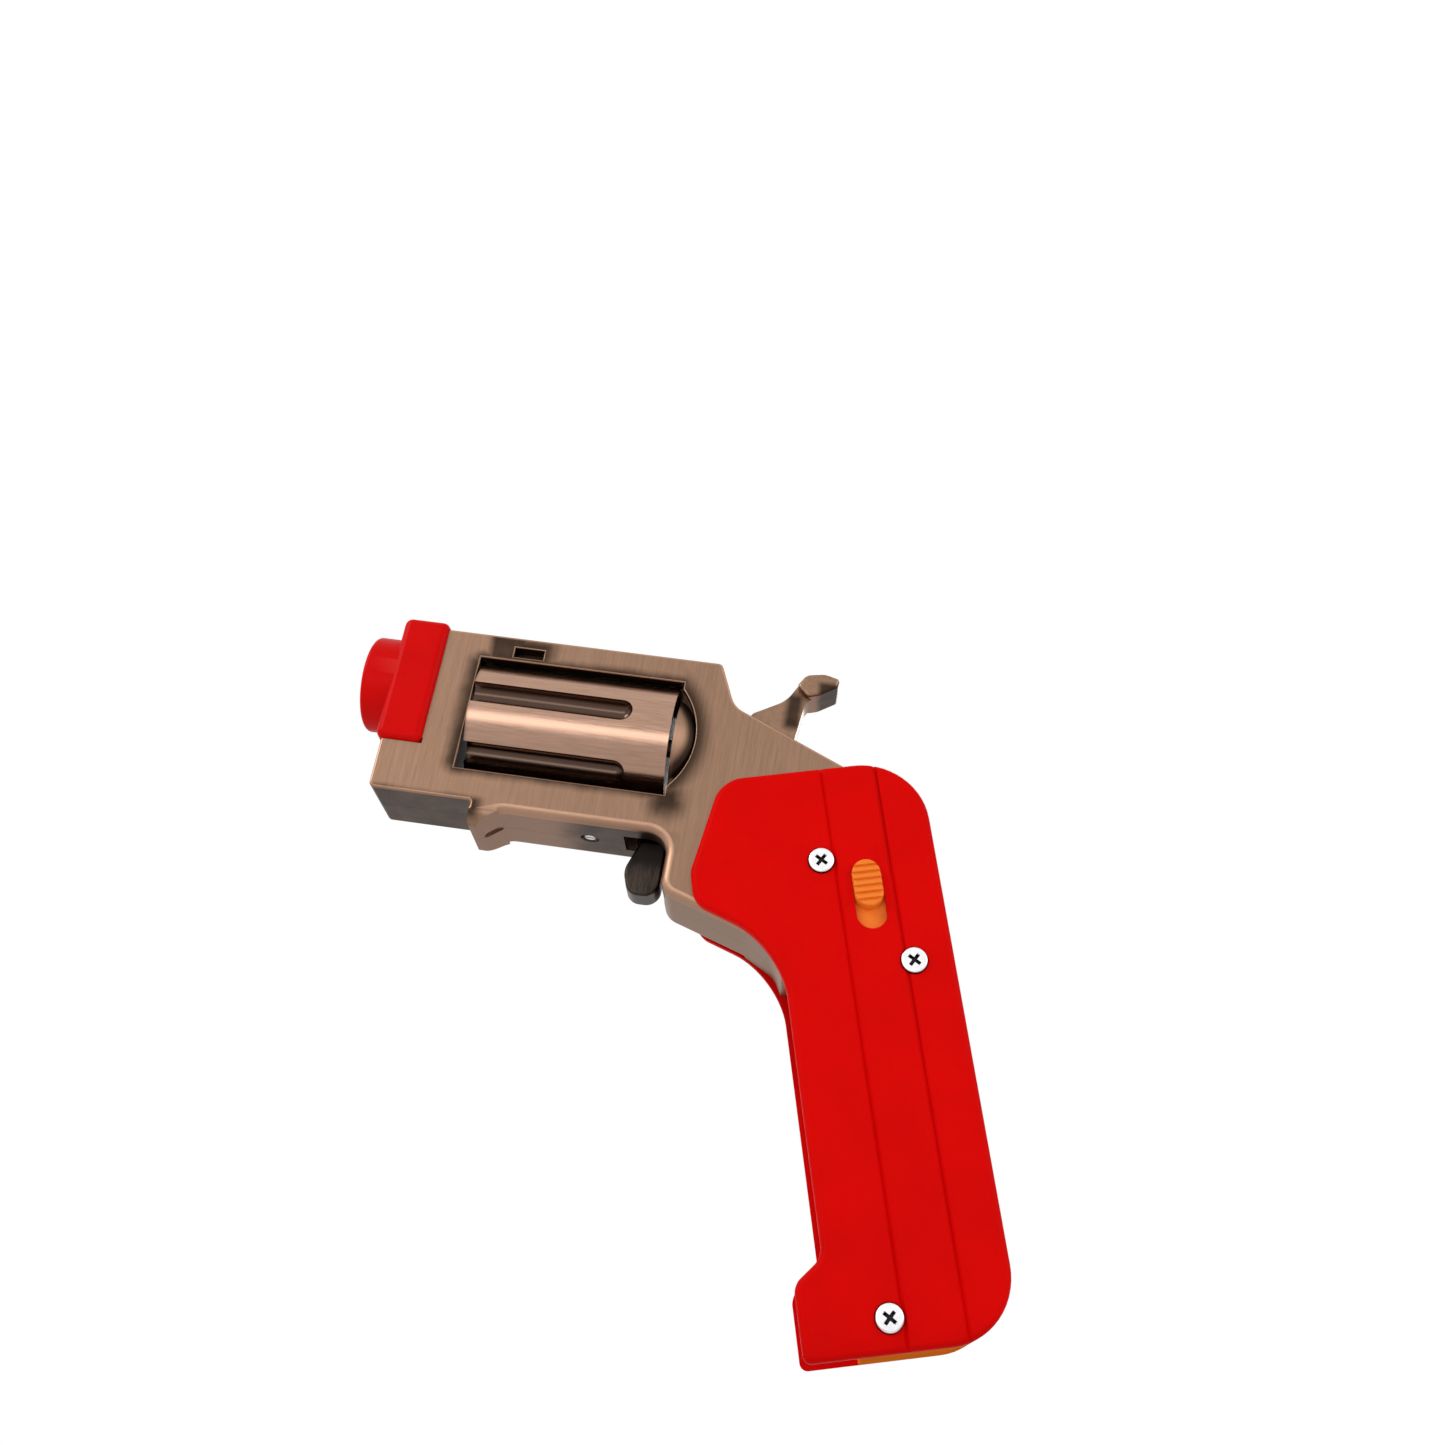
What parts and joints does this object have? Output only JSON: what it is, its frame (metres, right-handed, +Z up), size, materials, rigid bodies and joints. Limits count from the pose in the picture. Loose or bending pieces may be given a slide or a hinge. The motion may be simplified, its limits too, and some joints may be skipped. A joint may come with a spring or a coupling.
{
  "type": "folding pocket torch lighter",
  "caption": "Folding pocket torch lighter shaped like a small revolver: its barrel frame, with cylinder, hammer and trigger, folds on a hub between two grip shells.",
  "frame": {"origin": "middle of the flat butt face, halfway across the grip's thickness and on the middle line of its straight part", "axes": "+Z runs up the straight grip to its top, -X is the way the open barrel points, and -Y is the left side with the slider; at rest the barrel is open"},
  "size_m": [0.0898, 0.0205, 0.1219],
  "materials": {
    "shell_red": "saturated red, semi-gloss moulding",
    "cap_red": "slightly darker smooth red moulding",
    "tank_orange": "orange translucent moulding",
    "slider_orange": "orange moulding",
    "copper": "antique copper plate on a zinc casting, brushed, dark patina in the corners",
    "cylinder_copper": "antique copper plate, flutes darkened",
    "zinc": "bright zinc plated steel",
    "black_screw": "blackened steel",
    "steel": "plain steel",
    "spring_steel": "spring wire",
    "brass": "turned brass",
    "seal_rubber": "black seal rings",
    "black_plastic": "matt black moulding",
    "ceramic": "unglazed white ceramic",
    "wire_red": "insulated spark wire",
    "tube_clear": "thin fuel tube"
  },
  "bodies": {
    "grip": {"shell_left": "shell_red", "shell_right": "shell_red", "grip_screws": "zinc", "fold_hub": "steel", "hub_seals": "seal_rubber", "fuel_tank": "tank_orange", "tank_base": "tank_orange", "refill_valve": "brass", "flame_spindle": "brass", "fuel_tube_lower": "tube_clear", "slider_clip": "spring_steel"},
    "barrel": {"frame_half_left": "copper", "frame_half_right": "copper", "frame_screws": "black_screw", "muzzle_cap": "cap_red", "burner": "steel", "gas_jet": "brass", "ceramic_sleeve": "ceramic", "spark_needle": "steel", "spark_wire": "wire_red", "fuel_tube_upper": "tube_clear", "igniter_body": "black_plastic", "cylinder_arbor": "steel", "index_pin": "zinc", "trigger_pin": "steel", "trigger_spring": "spring_steel", "hammer_pin": "steel", "hammer_spring": "spring_steel"},
    "cylinder": {"cylinder": "cylinder_copper"},
    "trigger": {"trigger": "copper"},
    "hammer": {"hammer": "copper"},
    "plunger": {"igniter_plunger": "slider_orange"},
    "slider": {"slider_button": "slider_orange"},
    "flame_wheel": {"flame_wheel": "black_plastic"}
  },
  "joints": [
    {"name": "barrel_fold", "type": "hinge", "parent": "grip", "child": "barrel", "pos_m": [-0.0074, 0, 0.0721], "axis": [0, -1, 0], "range_deg": [0, 105]},
    {"name": "cylinder_spin", "type": "hinge", "parent": "barrel", "child": "cylinder", "pos_m": [-0.04128, 0, 0.10016], "axis": [-0.9657, 0, 0.2597], "continuous": true},
    {"name": "trigger_pull", "type": "hinge", "parent": "barrel", "child": "trigger", "pos_m": [-0.03077, 0, 0.08263], "axis": [0, -1, 0], "range_deg": [0, 14], "stiffness_Nm_per_rad": 0.05, "springref_deg": -20.05},
    {"name": "hammer_cock", "type": "hinge", "parent": "barrel", "child": "hammer", "pos_m": [-0.01212, 0, 0.08921], "axis": [0, 1, 0], "range_deg": [0, 28], "stiffness_Nm_per_rad": 0.03, "springref_deg": -20.05},
    {"name": "plunger_slide", "type": "slide", "parent": "barrel", "child": "plunger", "axis": [0.9657, 0, -0.2597], "range_m": [0, 0.002]},
    {"name": "slider_slide", "type": "slide", "parent": "grip", "child": "slider", "axis": [0, 0, -1], "range_m": [0, 0.0029]},
    {"name": "flame_set", "type": "hinge", "parent": "grip", "child": "flame_wheel", "pos_m": [0.0088, 0, 0.019], "axis": [0, 1, 0], "range_deg": [-60, 60]}
  ],
  "couplings": [
    {"joint": "plunger_slide", "follows": "trigger_pull", "m_per_rad": 0.008}
  ]
}
